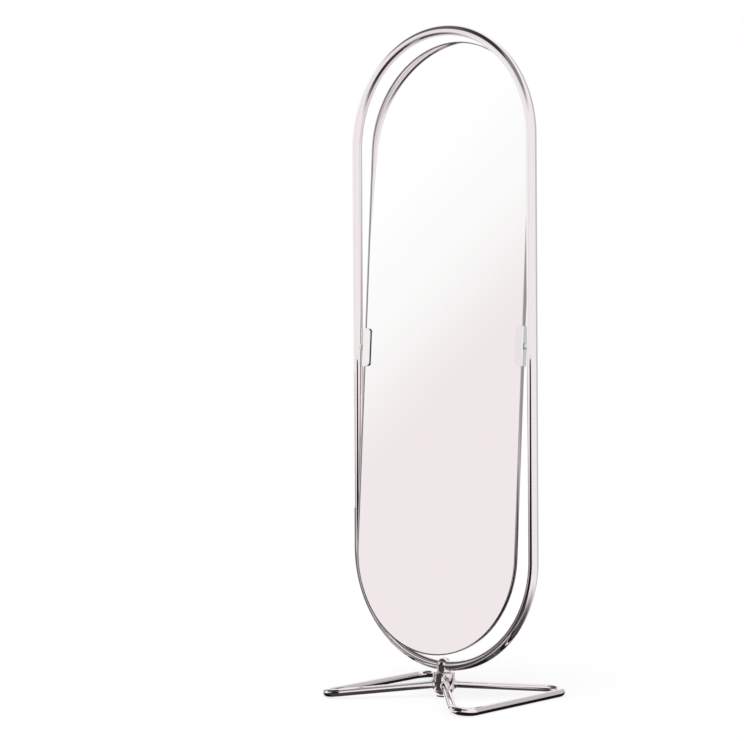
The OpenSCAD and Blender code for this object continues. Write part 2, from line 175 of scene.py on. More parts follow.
def rgb(code):
    """An sRGB hex colour as linear red, green, blue and alpha."""
    def linear(value):
        return value / 12.92 if value <= 0.04045 else ((value + 0.055) / 1.055) ** 2.4
    return (*(linear(int(code[i:i + 2], 16) / 255) for i in (1, 3, 5)), 1.0)


def add(tree, kind, settings=None, inputs=None):
    """A new node: settings are its properties, inputs its sockets, each given a value or an output."""
    made = tree.nodes.new(kind)
    for name, value in (settings or {}).items():
        setattr(made, name, value)
    for name, value in (inputs or {}).items():
        if isinstance(value, bpy.types.NodeSocket):
            tree.links.new(value, made.inputs[name])
        else:
            made.inputs[name].default_value = value
    return made


def wavelength(mm):
    """The Scale that gives a noise features of that size."""
    return 1000 / mm


# ---- Materials ----

def material_of(name, sockets, surface=None):
    """A material with its shader's sockets set; surface(tree, place) gives more of them from nodes."""
    material = bpy.data.materials.new(name)
    material.use_nodes = True
    tree = material.node_tree
    tree.nodes.clear()
    place = add(tree, "ShaderNodeTexCoord").outputs["Object"]
    inputs = dict(sockets)
    if surface:
        inputs.update(surface(tree, place))
    shader = add(tree, "ShaderNodeBsdfPrincipled", None, inputs)
    add(tree, "ShaderNodeOutputMaterial", None, {"Surface": shader.outputs[0]})
    return material


NOISE_LOW, NOISE_HIGH = 0.3, 0.7      # nearly all of a noise lies between
HAZE_MM = 9                           # patches of the haze that wiping leaves on chrome


def patchy(tree, place, mm, low, high, detail=2, start=NOISE_LOW, end=NOISE_HIGH):
    """A number that wanders between two, in patches of that many millimetres."""
    cloud = add(tree, "ShaderNodeTexNoise", None,
                {"Vector": place, "Scale": wavelength(mm), "Detail": detail})
    return add(tree, "ShaderNodeMapRange", None, {
        "Value": cloud.outputs[0], "From Min": start, "From Max": end,
        "To Min": low, "To Max": high}).outputs[0]


def mottled(tree, place, mm, first, second, detail=2):
    """Two hex colours, in patches of that many millimetres."""
    share = patchy(tree, place, mm, 0, 1, detail)
    mix = add(tree, "ShaderNodeMix", {"data_type": "RGBA"}, {0: share, 6: rgb(first), 7: rgb(second)})
    return mix.outputs[2]


def grained(tree, place, mm, depth_mm, detail=2):
    """The normal of a skin with grains that many millimetres across, raised by up to a depth."""
    grain = add(tree, "ShaderNodeTexNoise", None,
                {"Vector": place, "Scale": wavelength(mm), "Detail": detail})
    return add(tree, "ShaderNodeBump", None, {
        "Height": grain.outputs[0], "Strength": 1.0, "Distance": depth_mm * MM}).outputs[0]


def chrome(name, colour, rough, ripple_mm, ripple_depth_mm):
    """Nickel-chrome plate: near mirror, with a slight ripple of the metal under it and a wiping haze."""
    def surface(tree, place):
        return {"Roughness": patchy(tree, place, HAZE_MM, rough, rough * 2, 3),
                "Normal": grained(tree, place, ripple_mm, ripple_depth_mm, 1)}
    return material_of(name, {"Base Color": rgb(colour), "Metallic": 1.0}, surface)


# Bright plate over drawn tube, polished before it was bent: long clean reflections
tube_chrome = chrome("chrome_on_bent_steel_tube", "#EEE7E8", 0.03, 80, 0.01)
# The same plate over a zinc casting: a faint orange peel breaks the reflections up
cast_chrome = chrome("chrome_on_zinc_casting", "#E8E1E2", 0.04, 7, 0.02)
# Rolled strip with a greyer chrome than the tubes': it draws the mirror's edge as a grey line
strip_chrome = chrome("chrome_on_steel_strip", "#BAB4B6", 0.05, 30, 0.01)
# Pressed steel, tumbled and then plated: brighter than satin, with a fine grain
clip_chrome = material_of("satin_chrome_on_pressed_steel", {"Metallic": 1.0}, lambda tree, place: {
    "Base Color": mottled(tree, place, 5, "#EEEEEF", "#F6F6F6"),
    "Roughness": patchy(tree, place, 1.6, 0.08, 0.15),
    "Normal": grained(tree, place, 1.6, 0.004)})
# Clear-passivated zinc: bluish grey, with a cloudy bloom
zinc_plate = material_of("zinc_plated_steel", {"Metallic": 1.0}, lambda tree, place: {
    "Base Color": mottled(tree, place, 2.5, "#A9ADB2", "#C9CBCB", 3),
    "Roughness": patchy(tree, place, 1.2, 0.28, 0.45)})
# Barrel-plated zinc on the turned pins: pale and dull
bright_zinc = material_of("barrel_plated_zinc", {"Metallic": 1.0}, lambda tree, place: {
    "Base Color": mottled(tree, place, 2, "#D5D7D9", "#E6E6E5"),
    "Roughness": patchy(tree, place, 1, 0.5, 0.65)})
# Zinc die casting as it comes from the die, dull and slightly mottled
bare_zinc = material_of("die_cast_zinc", {"Metallic": 1.0}, lambda tree, place: {
    "Base Color": mottled(tree, place, 4, "#9C9EA1", "#B4B5B7"),
    "Roughness": patchy(tree, place, 1.5, 0.4, 0.6)})
# Silver under 4 mm of clear glass: a perfect mirror with the least trace of green
silver = material_of("silvered_float_glass", {
    "Base Color": rgb("#FAFBFA"), "Metallic": 1.0, "Roughness": 0.0})
# The ground and polished edge of float glass is deep green, because one looks along the sheet
glass_edge = material_of("polished_float_glass_edge", {
    "Roughness": 0.08, "IOR": 1.52}, lambda tree, place: {
    "Base Color": mottled(tree, place, 14, "#5F8F80", "#7FAA9B")})
# Grey paint that seals the silver
back_paint = material_of("mirror_back_paint", {"Roughness": 0.55}, lambda tree, place: {
    "Base Color": mottled(tree, place, 40, "#6C6F72", "#74777A")})


def board_surface(tree, place):
    fibres = add(tree, "ShaderNodeMapping", None, {"Vector": place, "Scale": (1, 1, 0.35)}).outputs[0]
    ground = mottled(tree, place, 60, "#3A2C22", "#46362A")
    flecks = patchy(tree, fibres, 2.2, 0, 0.6, 4, 0.45, 0.75)
    mix = add(tree, "ShaderNodeMix", {"data_type": "RGBA"}, {0: flecks, 6: ground, 7: rgb("#5D4A39")})
    return {"Base Color": mix.outputs[2],
            "Roughness": patchy(tree, fibres, 2.2, 0.55, 0.8, 4),
            "Normal": grained(tree, fibres, 2.2, 0.05, 4)}


# Tempered hardboard: oil-dark pressed fibre, flecked, smooth but not glossy
hardboard = material_of("tempered_hardboard", {}, board_surface)
# Moulded black rubber: matt, with a fine pitted skin
rubber = material_of("moulded_black_rubber", {}, lambda tree, place: {
    "Base Color": mottled(tree, place, 6, "#19191A", "#242425"),
    "Roughness": patchy(tree, place, 0.9, 0.6, 0.8),
    "Normal": grained(tree, place, 0.9, 0.03)})
# Turned nylon: ivory and slightly waxy, so light enters its edges
nylon = material_of("turned_nylon", {
    "Roughness": 0.4, "Subsurface Weight": 0.15, "Subsurface Scale": 1.5 * MM}, lambda tree, place: {
    "Base Color": mottled(tree, place, 3, "#E4E1D5", "#EDEBE2")})
# Undyed silicone rubber: milky and dull, so that nothing dark shows at the pivots
silicone = material_of("undyed_silicone_rubber", {
    "Roughness": 0.5, "Subsurface Weight": 0.3, "Subsurface Scale": 2 * MM}, lambda tree, place: {
    "Base Color": mottled(tree, place, 4, "#DEDDDA", "#E9E8E6")})
# Closed-cell foam tape: chalky white with open pores
foam = material_of("closed_cell_foam_tape", {"Roughness": 0.9}, lambda tree, place: {
    "Base Color": mottled(tree, place, 0.8, "#D6D6D0", "#ECECE8", 3),
    "Normal": grained(tree, place, 0.8, 0.1, 3)})


# ---- Meshes ----

def mesh_of(name, points, faces, edges=()):
    mesh = bpy.data.meshes.new(name)
    mesh.from_pydata([tuple(p) for p in points], list(edges), list(faces))
    return mesh


def piece(name, mesh, body, slot, nodes, *materials):
    """A finished piece: it rides on a body, takes its materials and hides its CAD nodes, which it stands
    for; the slot is not used.
    """
    mesh.materials.clear()
    for material in materials:
        mesh.materials.append(material)
    made = bpy.data.objects.new(name, mesh)
    bpy.context.collection.objects.link(made)
    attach(made, body)
    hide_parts(*nodes)
    return made


def evaluated_mesh(thing):
    """The object's mesh with its modifiers applied; the object itself is removed."""
    mesh = bpy.data.meshes.new_from_object(thing.evaluated_get(bpy.context.evaluated_depsgraph_get()))
    bpy.data.objects.remove(thing)
    return mesh


def loose_object(mesh):
    made = bpy.data.objects.new(mesh.name, mesh)
    bpy.context.collection.objects.link(made)
    return made


def eased(mesh, angle=35):
    """Smooth faces, with the edges sharper than that many degrees left sharp and flat faces kept flat."""
    mesh.shade_smooth()
    mesh.set_sharp_from_angle(angle=math.radians(angle))
    target = loose_object(mesh)
    step = target.modifiers.new("flat_faces", "WEIGHTED_NORMAL")
    step.mode = "FACE_AREA"
    step.keep_sharp = True
    return evaluated_mesh(target)


def combined(mesh, others, operation):
    """The mesh joined with, or cut by, other closed meshes."""
    target = loose_object(mesh)
    tools = [loose_object(other) for other in others]
    for tool in tools:
        step = target.modifiers.new(operation.lower(), "BOOLEAN")
        step.operation = operation
        step.solver = "EXACT"
        step.object = tool
    result = evaluated_mesh(target)
    for tool in tools:
        bpy.data.objects.remove(tool)
    return result


def joined(name, meshes):
    """Several meshes as one, apart from each other inside it."""
    bm = bmesh.new()
    for mesh in meshes:
        bm.from_mesh(mesh)
    result = bpy.data.meshes.new(name)
    bm.to_mesh(result)
    bm.free()
    return result


def rounded(corners, steps=6):
    """An outline of (x, y, radius) corners with each corner rounded by its radius."""
    points = []
    count = len(corners)
    for i, (x, y, radius) in enumerate(corners):
        here = Vector((x, y))
        if radius == 0:
            points.append(here)
            continue
        before = (Vector(corners[i - 1][:2]) - here).normalized()
        after = (Vector(corners[(i + 1) % count][:2]) - here).normalized()
        half = before.angle(after) / 2
        centre = here + (before + after).normalized() * radius / math.sin(half)
        first = here + before * radius / math.tan(half) - centre
        last = here + after * radius / math.tan(half) - centre
        sweep = first.angle_signed(last)
        for k in range(steps + 1):
            points.append(centre + Matrix.Rotation(-sweep * k / steps, 2) @ first)
    return points


def turned(name, outline, sides=64, closed=False):
    """A mesh turned round Z from a half outline of (radius, height) points; closed joins last to first."""
    points, faces, rings = [], [], []
    for radius, height in outline:
        if radius == 0:
            rings.append([len(points)])
            points.append((0, 0, height))
        else:
            rings.append(list(range(len(points), len(points) + sides)))
            points += [(radius * math.cos(2 * math.pi * i / sides),
                        radius * math.sin(2 * math.pi * i / sides), height) for i in range(sides)]
    pairs = list(zip(rings, rings[1:])) + ([(rings[-1], rings[0])] if closed else [])
    for low, high in pairs:
        for i in range(sides):
            j = (i + 1) % sides
            face = [low[i % len(low)], low[j % len(low)], high[j % len(high)], high[i % len(high)]]
            face = list(dict.fromkeys(face))
            if len(face) > 2:
                faces.append(face)
    mesh = mesh_of(name, points, faces)
    outward(mesh)
    return mesh


def outward(mesh):
    """Merges doubles and turns every face outwards."""
    bm = bmesh.new()
    bm.from_mesh(mesh)
    bmesh.ops.remove_doubles(bm, verts=bm.verts, dist=0.001 * MM)
    bmesh.ops.recalc_face_normals(bm, faces=bm.faces)
    bm.to_mesh(mesh)
    bm.free()


def hoop_arc(centre_z, start, end):
    """Points on the hoop's bend round a centre at that height, from one angle to another."""
    count = max(2, math.ceil(abs(end - start) / ARC_STEP))
    return [Vector((HOOP_BEND * math.cos(start + (end - start) * i / count), 0,
                    centre_z + HOOP_BEND * math.sin(start + (end - start) * i / count)))
            for i in range(count + 1)]


def oval(width, height):
    """Corner points (x, z) of a long oval with half-round ends, in order."""
    points = []
    for end in (1, -1):
        for i in range(OVAL_STEPS + 1):
            a = math.pi * i / OVAL_STEPS
            rise = (height - width) / 2 + width / 2 * math.sin(a)
            points.append((end * width / 2 * math.cos(a), end * rise))
    return points


# ---- Geometry node trees ----

BEND_STEPS = 40                       # round each bent corner of a tube


def tree_of(name, inputs):
    """A geometry node tree with named inputs; returns the tree and its input sockets."""
    tree = bpy.data.node_groups.new(name, "GeometryNodeTree")
    tree.interface.new_socket("Geometry", in_out="INPUT", socket_type="NodeSocketGeometry")
    for label, kind in inputs.items():
        tree.interface.new_socket(label, in_out="INPUT", socket_type=kind)
    tree.interface.new_socket("Geometry", in_out="OUTPUT", socket_type="NodeSocketGeometry")
    return tree, add(tree, "NodeGroupInput").outputs


def end_tree(tree, geometry, material):
    """The tree's last nodes: real mesh, smooth faces, its material."""
    real = add(tree, "GeometryNodeRealizeInstances", None, {0: geometry})
    smooth = add(tree, "GeometryNodeSetShadeSmooth", None, {0: real.outputs[0]})
    dressed = add(tree, "GeometryNodeSetMaterial", None,
                  {"Geometry": smooth.outputs[0], "Material": material})
    add(tree, "NodeGroupOutput", None, {0: dressed.outputs[0]})


def grown(name, start, tree, values):
    """The plain mesh that a tree grows from a starting mesh, with its named inputs set."""
    seed = loose_object(start)
    modifier = seed.modifiers.new("grow", "NODES")
    modifier.node_group = tree
    for item in tree.interface.items_tree:
        if item.in_out == "INPUT" and item.name in values:
            modifier[item.identifier] = values[item.name]
    seed.update_tag()
    mesh = evaluated_mesh(seed)
    mesh.name = name
    return mesh


# Tube along a path of edges: corners rounded by the bend radius, then a round section drawn along it
tube_tree, tube_in = tree_of("tube_along_path", {
    "Diameter": "NodeSocketFloat", "Bend radius": "NodeSocketFloat", "Sides": "NodeSocketInt",
    "Material": "NodeSocketMaterial"})
line = add(tube_tree, "GeometryNodeMeshToCurve", None, {0: tube_in["Geometry"]})
bent = add(tube_tree, "GeometryNodeFilletCurve", {"mode": "POLY"},
           {"Curve": line.outputs[0], "Radius": tube_in["Bend radius"], "Count": BEND_STEPS})
half = add(tube_tree, "ShaderNodeMath", {"operation": "MULTIPLY"}, {0: tube_in["Diameter"], 1: 0.5})
section = add(tube_tree, "GeometryNodeCurvePrimitiveCircle", None,
              {"Resolution": tube_in["Sides"], "Radius": half.outputs[0]})
drawn = add(tube_tree, "GeometryNodeCurveToMesh", None,
            {"Curve": bent.outputs[0], "Profile Curve": section.outputs[0]})
end_tree(tube_tree, drawn.outputs[0], tube_in["Material"])

# Strip round an oval: the starting mesh is the strip's closed section
band_tree, band_in = tree_of("strip_round_oval", {
    "Width": "NodeSocketFloat", "Height": "NodeSocketFloat", "Steps": "NodeSocketInt",
    "Material": "NodeSocketMaterial"})
frame_line = add(band_tree, "GeometryNodeCurvePrimitiveQuadrilateral", None,
                 {"Width": band_in["Width"], "Height": band_in["Height"]})
half = add(band_tree, "ShaderNodeMath", {"operation": "MULTIPLY"}, {0: band_in["Width"], 1: 0.5})
ends = add(band_tree, "GeometryNodeFilletCurve", {"mode": "POLY"},
           {"Curve": frame_line.outputs[0], "Radius": half.outputs[0], "Count": band_in["Steps"],
            "Limit Radius": True})
strip = add(band_tree, "GeometryNodeMeshToCurve", None, {0: band_in["Geometry"]})
drawn = add(band_tree, "GeometryNodeCurveToMesh", None,
            {"Curve": ends.outputs[0], "Profile Curve": strip.outputs[0]})
end_tree(band_tree, drawn.outputs[0], band_in["Material"])

# The same screw at each point, turned to the direction that the point carries
screw_tree, screw_in = tree_of("screws_at_points", {
    "Screw": "NodeSocketObject", "Material": "NodeSocketMaterial"})
screw = add(screw_tree, "GeometryNodeObjectInfo", None, {"Object": screw_in["Screw"]})
aim = add(screw_tree, "GeometryNodeInputNamedAttribute", {"data_type": "FLOAT_VECTOR"}, {"Name": "aim"})
aimed = add(screw_tree, "FunctionNodeAlignRotationToVector", {"axis": "Z"}, {"Vector": aim.outputs[0]})
placed = add(screw_tree, "GeometryNodeInstanceOnPoints", None,
             {"Points": screw_in["Geometry"], "Instance": screw.outputs["Geometry"],
              "Rotation": aimed.outputs[0]})
end_tree(screw_tree, placed.outputs[0], screw_in["Material"])


def path_mesh(points):
    return mesh_of("path", points, [], [(i, i + 1) for i in range(len(points) - 1)])


def hollow_tube(name, points, diameter, wall, bend_radius, material):
    """A real tube along a path, its two skins closed at the ends."""
    skins = [grown(name, path_mesh(points), tube_tree, {
        "Diameter": size, "Bend radius": bend_radius, "Sides": TUBE_SIDES, "Material": material})
        for size in (diameter, diameter - 2 * wall)]
    mesh = joined(name, skins)
    count = len(skins[0].vertices)
    bm = bmesh.new()
    bm.from_mesh(mesh)
    bm.verts.ensure_lookup_table()
    for ring in (0, count - TUBE_SIDES):
        for i in range(TUBE_SIDES):
            outer = ring + i, ring + (i + 1) % TUBE_SIDES
            bm.faces.new([bm.verts[k] for k in (outer[0], outer[1], count + outer[1], count + outer[0])])
    bmesh.ops.recalc_face_normals(bm, faces=bm.faces)
    bm.to_mesh(mesh)
    bm.free()
    return mesh


def rod(name, radius, length, matrix, sides=48):
    """A plain closed cylinder along +Z of a matrix, for cutting."""
    mesh = turned(name, [(0, 0), (radius, 0), (radius, length), (0, length)], sides)
    mesh.transform(matrix)
    return mesh


def screws(name, screw_mesh, places, body, slot, nodes, material):
    """One piece of like screws: places are (point, direction) pairs."""
    points = mesh_of("points", [p for p, _ in places], [])
    aim_data = points.attributes.new("aim", "FLOAT_VECTOR", "POINT")
    for item, (_, direction) in zip(aim_data.data, places):
        item.vector = direction
    model = loose_object(screw_mesh)
    mesh = grown(name, points, screw_tree, {"Screw": model, "Material": material})
    bpy.data.objects.remove(model)
    piece(name, eased(mesh), body, slot, nodes, material)


def recessed_screw(name, outline, hexagon_r, depth, top):
    """A turned screw with a hexagon socket sunk from its top."""
    body = turned(name, outline, 32)
    key = turned("key", [(0, top - depth), (hexagon_r, top - depth),
                         (hexagon_r, top + MM), (0, top + MM)], 6)
    return combined(body, [key], "DIFFERENCE")


# ---- Hoop ----

def on_arc(angle):
    """The point at an angle from straight down on the bottom arc."""
    down = Vector((math.sin(angle), 0, -math.cos(angle)))
    return Vector((0, 0, LOW_CENTRE)) + HOOP_BEND * down


def turn_to(direction, place):
    """A matrix whose +Z looks along the direction, at a place."""
    return Matrix.Translation(place) @ direction.to_track_quat("Z", "Y").to_matrix().to_4x4()


BACK = Vector((0, 1, 0))
half_shoulder = SHOULDER_W / 2 / HOOP_BEND
screw_step = SPIGOT_LEN / 4 / HOOP_BEND
screw_angles = [side * JOINT_ANGLE + step * screw_step for side in (LEFT, RIGHT) for step in (-1, 1)]

DOWN = -math.pi / 2
upper_path = (hoop_arc(LOW_CENTRE, DOWN + JOINT_ANGLE + half_shoulder, 0)
              + hoop_arc(HIGH_CENTRE, 0, math.pi)
              + hoop_arc(LOW_CENTRE, math.pi, DOWN + 2 * math.pi - JOINT_ANGLE - half_shoulder))
lower_path = hoop_arc(LOW_CENTRE, DOWN - JOINT_ANGLE + half_shoulder, DOWN + JOINT_ANGLE - half_shoulder)


def screw_hole(angle):
    return rod("screw_hole", SPIGOT_SCREW_D / 2, TUBE_D, turn_to(BACK, on_arc(angle)), 32)


def pivot_hole(side):
    across = Vector((side, 0, 0))
    return rod("pivot_hole", PIN_D / 2 + BUSH_WALL, TUBE_D / 2 + MM,
               turn_to(across, Vector((side * (TUBE_FACE - MM), 0, PIVOT_Z))))


upper = hollow_tube("hoop_tube", upper_path, TUBE_D, TUBE_WALL, 0.0, tube_chrome)
upper = combined(upper, [screw_hole(screw_angles[0]), screw_hole(screw_angles[3]),
                         pivot_hole(LEFT), pivot_hole(RIGHT)], "DIFFERENCE")
piece("hoop_tube", eased(upper), "stand", "hoop_chrome", ["frame_hoop"], tube_chrome)
lower = hollow_tube("bottom_arc_tube", lower_path, TUBE_D, TUBE_WALL, 0.0, tube_chrome)
lower = combined(lower, [screw_hole(screw_angles[1]), screw_hole(screw_angles[2])], "DIFFERENCE")
piece("bottom_arc_tube", eased(lower), "stand", "hoop_chrome", ["frame_bottom_arc"], tube_chrome)

for side, word in ((LEFT, "left"), (RIGHT, "right")):
    middle = DOWN + side * JOINT_ANGLE
    reach = SPIGOT_LEN / 2 / HOOP_BEND
    sleeve = hollow_tube("spigot", hoop_arc(LOW_CENTRE, middle - reach, middle + reach),
                         TUBE_D - 2 * TUBE_WALL - SPIGOT_PLAY, SPIGOT_WALL, 0.0, tube_chrome)
    crest = TUBE_D / 2 + SHOULDER_PROUD
    ring = turned("shoulder", rounded([
        (SHOULDER_ROOT, -SHOULDER_W / 2, 0), (crest, -SHOULDER_W / 2, 0.5 * MM),
        (crest, SHOULDER_W / 2, 0.5 * MM), (SHOULDER_ROOT, SHOULDER_W / 2, 0)]), closed=True)
    place = Vector((HOOP_BEND * math.cos(middle), 0, LOW_CENTRE + HOOP_BEND * math.sin(middle)))
    along = Vector((-math.sin(middle), 0, math.cos(middle)))
    ring.transform(turn_to(along, place))
    piece(f"spigot_ring_{word}", eased(joined("spigot", [sleeve, ring])), "stand", "zinc_plate",
          [f"hoop_spigot_{word}"], cast_chrome)

grub_r = SPIGOT_SCREW_D / 2 - SCREW_PLAY
grub = recessed_screw("spigot_grub", rounded([
    (0, 0, 0), (grub_r, 0, 0.5 * MM), (grub_r, GRUB_LEN, 0.4 * MM), (0, GRUB_LEN, 0)], 3),
    hexagon_r=1.4 * MM, depth=2.6 * MM, top=GRUB_LEN)
screws("spigot_grub_screws", grub, [(on_arc(a) + BACK * GRUB_START, BACK) for a in screw_angles],
       "stand", "zinc_plate", ["spigot_screws"], zinc_plate)


# ---- Wings ----

def wing_matrix(side):
    """The wing's own plane, which slopes from the sockets to the floor."""
    return (Matrix.Translation((0, 0, SOCKET_Z)) @ Matrix.Rotation(0 if side == RIGHT else math.pi, 4, "Z")
            @ Matrix.Rotation(WING_SLOPE, 4, "Y"))


for side, word in ((LEFT, "left"), (RIGHT, "right")):
    start = SOCKET_START + BORE_PLAY
    path = [Vector((start * math.cos(WING_ANGLE), -start * math.sin(WING_ANGLE), 0)),
            Vector((WING_RUN, -WING_HALF_SPAN, 0)), Vector((WING_RUN, WING_HALF_SPAN, 0)),
            Vector((start * math.cos(WING_ANGLE), start * math.sin(WING_ANGLE), 0))]
    wing = hollow_tube(f"wing_tube_{word}", path, WING_D, WING_WALL, WING_BEND, tube_chrome)
    wing.transform(wing_matrix(side))
    piece(f"wing_tube_{word}", eased(wing), "stand", "base_chrome", [f"base_wing_{word}"], tube_chrome)


# ---- Hub ----

fillet_centre = (DRUM_R - DRUM_BOTTOM_FILLET, FOOT_TOP + DRUM_BOTTOM_FILLET)
fillet_start = -math.acos((FOOT_R - fillet_centre[0]) / DRUM_BOTTOM_FILLET)
belly = [(fillet_centre[0] + DRUM_BOTTOM_FILLET * math.cos(a),
          fillet_centre[1] + DRUM_BOTTOM_FILLET * math.sin(a), 0)
         for a in (fillet_start * (1 - i / FILLET_STEPS) for i in range(FILLET_STEPS + 1))]
dome = [(POST_R * math.cos(a), CROWN_Z - POST_R + POST_R * math.sin(a), 0)
        for a in (math.pi / 2 * i / DOME_STEPS for i in range(DOME_STEPS))]
hub_outline = rounded([
    (0, COUNTERBORE_TOP, 0), (COUNTERBORE_R, COUNTERBORE_TOP, 0), (COUNTERBORE_R, PAD_T, 0.4 * MM),
    (FOOT_R, PAD_T, 0.6 * MM), *belly, (DRUM_R, DRUM_TOP, DRUM_TOP_FILLET),
    (POST_R, DRUM_TOP, POST_FILLET), *dome, (0, CROWN_Z, 0)])
hub = turned("hub_casting", hub_outline, 96)
collars, cuts = [], []
for side in (LEFT, RIGHT):
    for end in (-1, 1):
        socket = (wing_matrix(side) @ Matrix.Rotation(end * WING_ANGLE, 4, "Z")
                  @ Matrix.Rotation(math.pi / 2, 4, "Y"))
        collar = turned("collar", rounded([
            (0, SOCKET_START, 0), (COLLAR_R, SOCKET_START, 0), (COLLAR_R, COLLAR_END, 0.9 * MM),
            (0, COLLAR_END, 0)]), 64)
        collar.transform(socket)
        collars.append(collar)
        cuts.append(rod("bore", WING_D / 2 + BORE_PLAY, DRUM_R,
                        socket @ Matrix.Translation((0, 0, SOCKET_START))))
        screw_turn = Matrix.Rotation((0 if side == RIGHT else math.pi) + end * WING_AZIMUTH, 4, "Z")
        cuts.append(rod("screw_hole", WING_SCREW_D / 2, SOCKET_Z,
                        screw_turn @ Matrix.Translation((WING_SCREW_R, 0, 0)), 32))
HUB_CUT = math.radians(8)             # of the hoop's arc, each side, that crosses the hub
bow = grown("bow", path_mesh(hoop_arc(LOW_CENTRE, DOWN - HUB_CUT, DOWN + HUB_CUT)), tube_tree, {
    "Diameter": TUBE_D + 2 * BORE_PLAY, "Bend radius": 0.0, "Sides": TUBE_SIDES, "Material": cast_chrome})
bm = bmesh.new()
bm.from_mesh(bow)
bmesh.ops.holes_fill(bm, edges=[e for e in bm.edges if e.is_boundary])
bmesh.ops.recalc_face_normals(bm, faces=bm.faces)
bm.to_mesh(bow)
bm.free()
hub = combined(hub, collars, "UNION")
hub = combined(hub, [bow] + cuts, "DIFFERENCE")
piece("hub_casting", eased(hub, 30), "stand", "hub_chrome", ["hub_body"], cast_chrome)

foot = turned("hub_foot_ring", rounded([
    (COUNTERBORE_R, 0, 0.4 * MM), (FOOT_R, 0, 0.8 * MM),
    (FOOT_R, PAD_T, 0.4 * MM), (COUNTERBORE_R, PAD_T, 0)]), closed=True)
piece("hub_foot_ring", eased(foot), "stand", "black_rubber", ["hub_foot_pad"], rubber)


# ---- Panel ----

panel_matrix = Matrix.Translation((0, 0, PIVOT_Z)) @ Matrix.Rotation(-TILT, 4, "X")
LYING_TO_UPRIGHT = Matrix.Rotation(math.pi / 2, 4, "X")   # plan X, Y to elevation X, Z


def at_clip_screws():
    """Where the four clip screws enter, in the panel's own upright frame."""
    return [Vector((side * CLIP_SCREW_X, 0, end * CLIP_SCREW_PITCH / 2))
            for side in (LEFT, RIGHT) for end in (-1, 1)]


strip_section = rounded([
    (0, -RIM_DEPTH / 2, 0.9 * MM), (-RIM_T, -RIM_DEPTH / 2, 0.5 * MM),
    (-RIM_T, RIM_DEPTH / 2 - LEDGE_T, 0.3 * MM), (-RIM_T - LEDGE_W, RIM_DEPTH / 2 - LEDGE_T, 0.4 * MM),
    (-RIM_T - LEDGE_W, RIM_DEPTH / 2, 0.4 * MM), (0, RIM_DEPTH / 2, 0.9 * MM)], 4)
loop = mesh_of("section", [(x, y, 0) for x, y in strip_section], [],
               [(i, (i + 1) % len(strip_section)) for i in range(len(strip_section))])
rim = grown("oval_rim", loop, band_tree, {
    "Width": RIM_W, "Height": RIM_H, "Steps": OVAL_STEPS, "Material": strip_chrome})
rim.transform(LYING_TO_UPRIGHT)
outward(rim)
rim = combined(rim, [rod("screw_hole", CLIP_SCREW_D / 2, RIM_DEPTH, turn_to(BACK, place), 24)
                     for place in at_clip_screws()], "DIFFERENCE")
rim.transform(panel_matrix)
piece("oval_rim", eased(rim, 40), "panel", "rim_chrome", ["rim_band"], strip_chrome)


def oval_slab(name, width, height, front, back, bevel):
    """A flat oval plate with eased edges: its faces' materials are 0 front, 1 edge, 2 back."""
    rings = [(width - 2 * bevel, height - 2 * bevel, front), (width, height, front + bevel),
             (width, height, back - bevel), (width - 2 * bevel, height - 2 * bevel, back)]
    points = [(x, y, z) for ring_w, ring_h, y in rings for x, z in oval(ring_w, ring_h)]
    count = len(points) // len(rings)
    faces = [list(range(count))]
    for k in range(len(rings) - 1):
        for i in range(count):
            j = (i + 1) % count
            faces.append([k * count + i, k * count + j, (k + 1) * count + j, (k + 1) * count + i])
    faces.append(list(range(len(points) - count, len(points))))
    mesh = mesh_of(name, points, faces)
    for face in mesh.polygons:
        face.material_index = 1
    mesh.polygons[0].material_index = 0
    mesh.polygons[len(faces) - 1].material_index = 2
    outward(mesh)
    return mesh


glass = oval_slab("glass_sheet", RIM_W - 2 * RIM_T - 2 * GLASS_PLAY, RIM_H - 2 * RIM_T - 2 * GLASS_PLAY,
                  GLASS_FRONT, GLASS_FRONT + GLASS_T, 0.5 * MM)
glass.transform(panel_matrix)
piece("glass_sheet", eased(glass, 30), "panel", "mirror_face", ["mirror_glass"],
      silver, glass_edge, back_paint)


# ---- Pivot clips ----

def clip_outline(in_x, out_x, low, high):
    """A clip plate seen from the front: rounded on the panel, nearly square at the hoop."""
    return rounded([(in_x, low, CLIP_CORNER), (out_x, low, CLIP_PLATE_EASE),
                    (out_x, high, CLIP_PLATE_EASE), (in_x, high, CLIP_CORNER)], 12)


def prism(name, outline, low, high):
    """A closed prism on an (x, y) outline, from one height to another."""
    count = len(outline)
    points = [(x, y, z) for z in (low, high) for x, y in outline]
    faces = [list(range(count)), list(range(count, 2 * count))]
    faces += [[i, (i + 1) % count, count + (i + 1) % count, count + i] for i in range(count)]
    mesh = mesh_of(name, points, faces)
    outward(mesh)
    return mesh


def bevelled(mesh, width):
    target = loose_object(mesh)
    step = target.modifiers.new("edges", "BEVEL")
    step.width = width
    step.segments = 2
    step.limit_method = "ANGLE"
    step.angle_limit = math.radians(50)
    return evaluated_mesh(target)


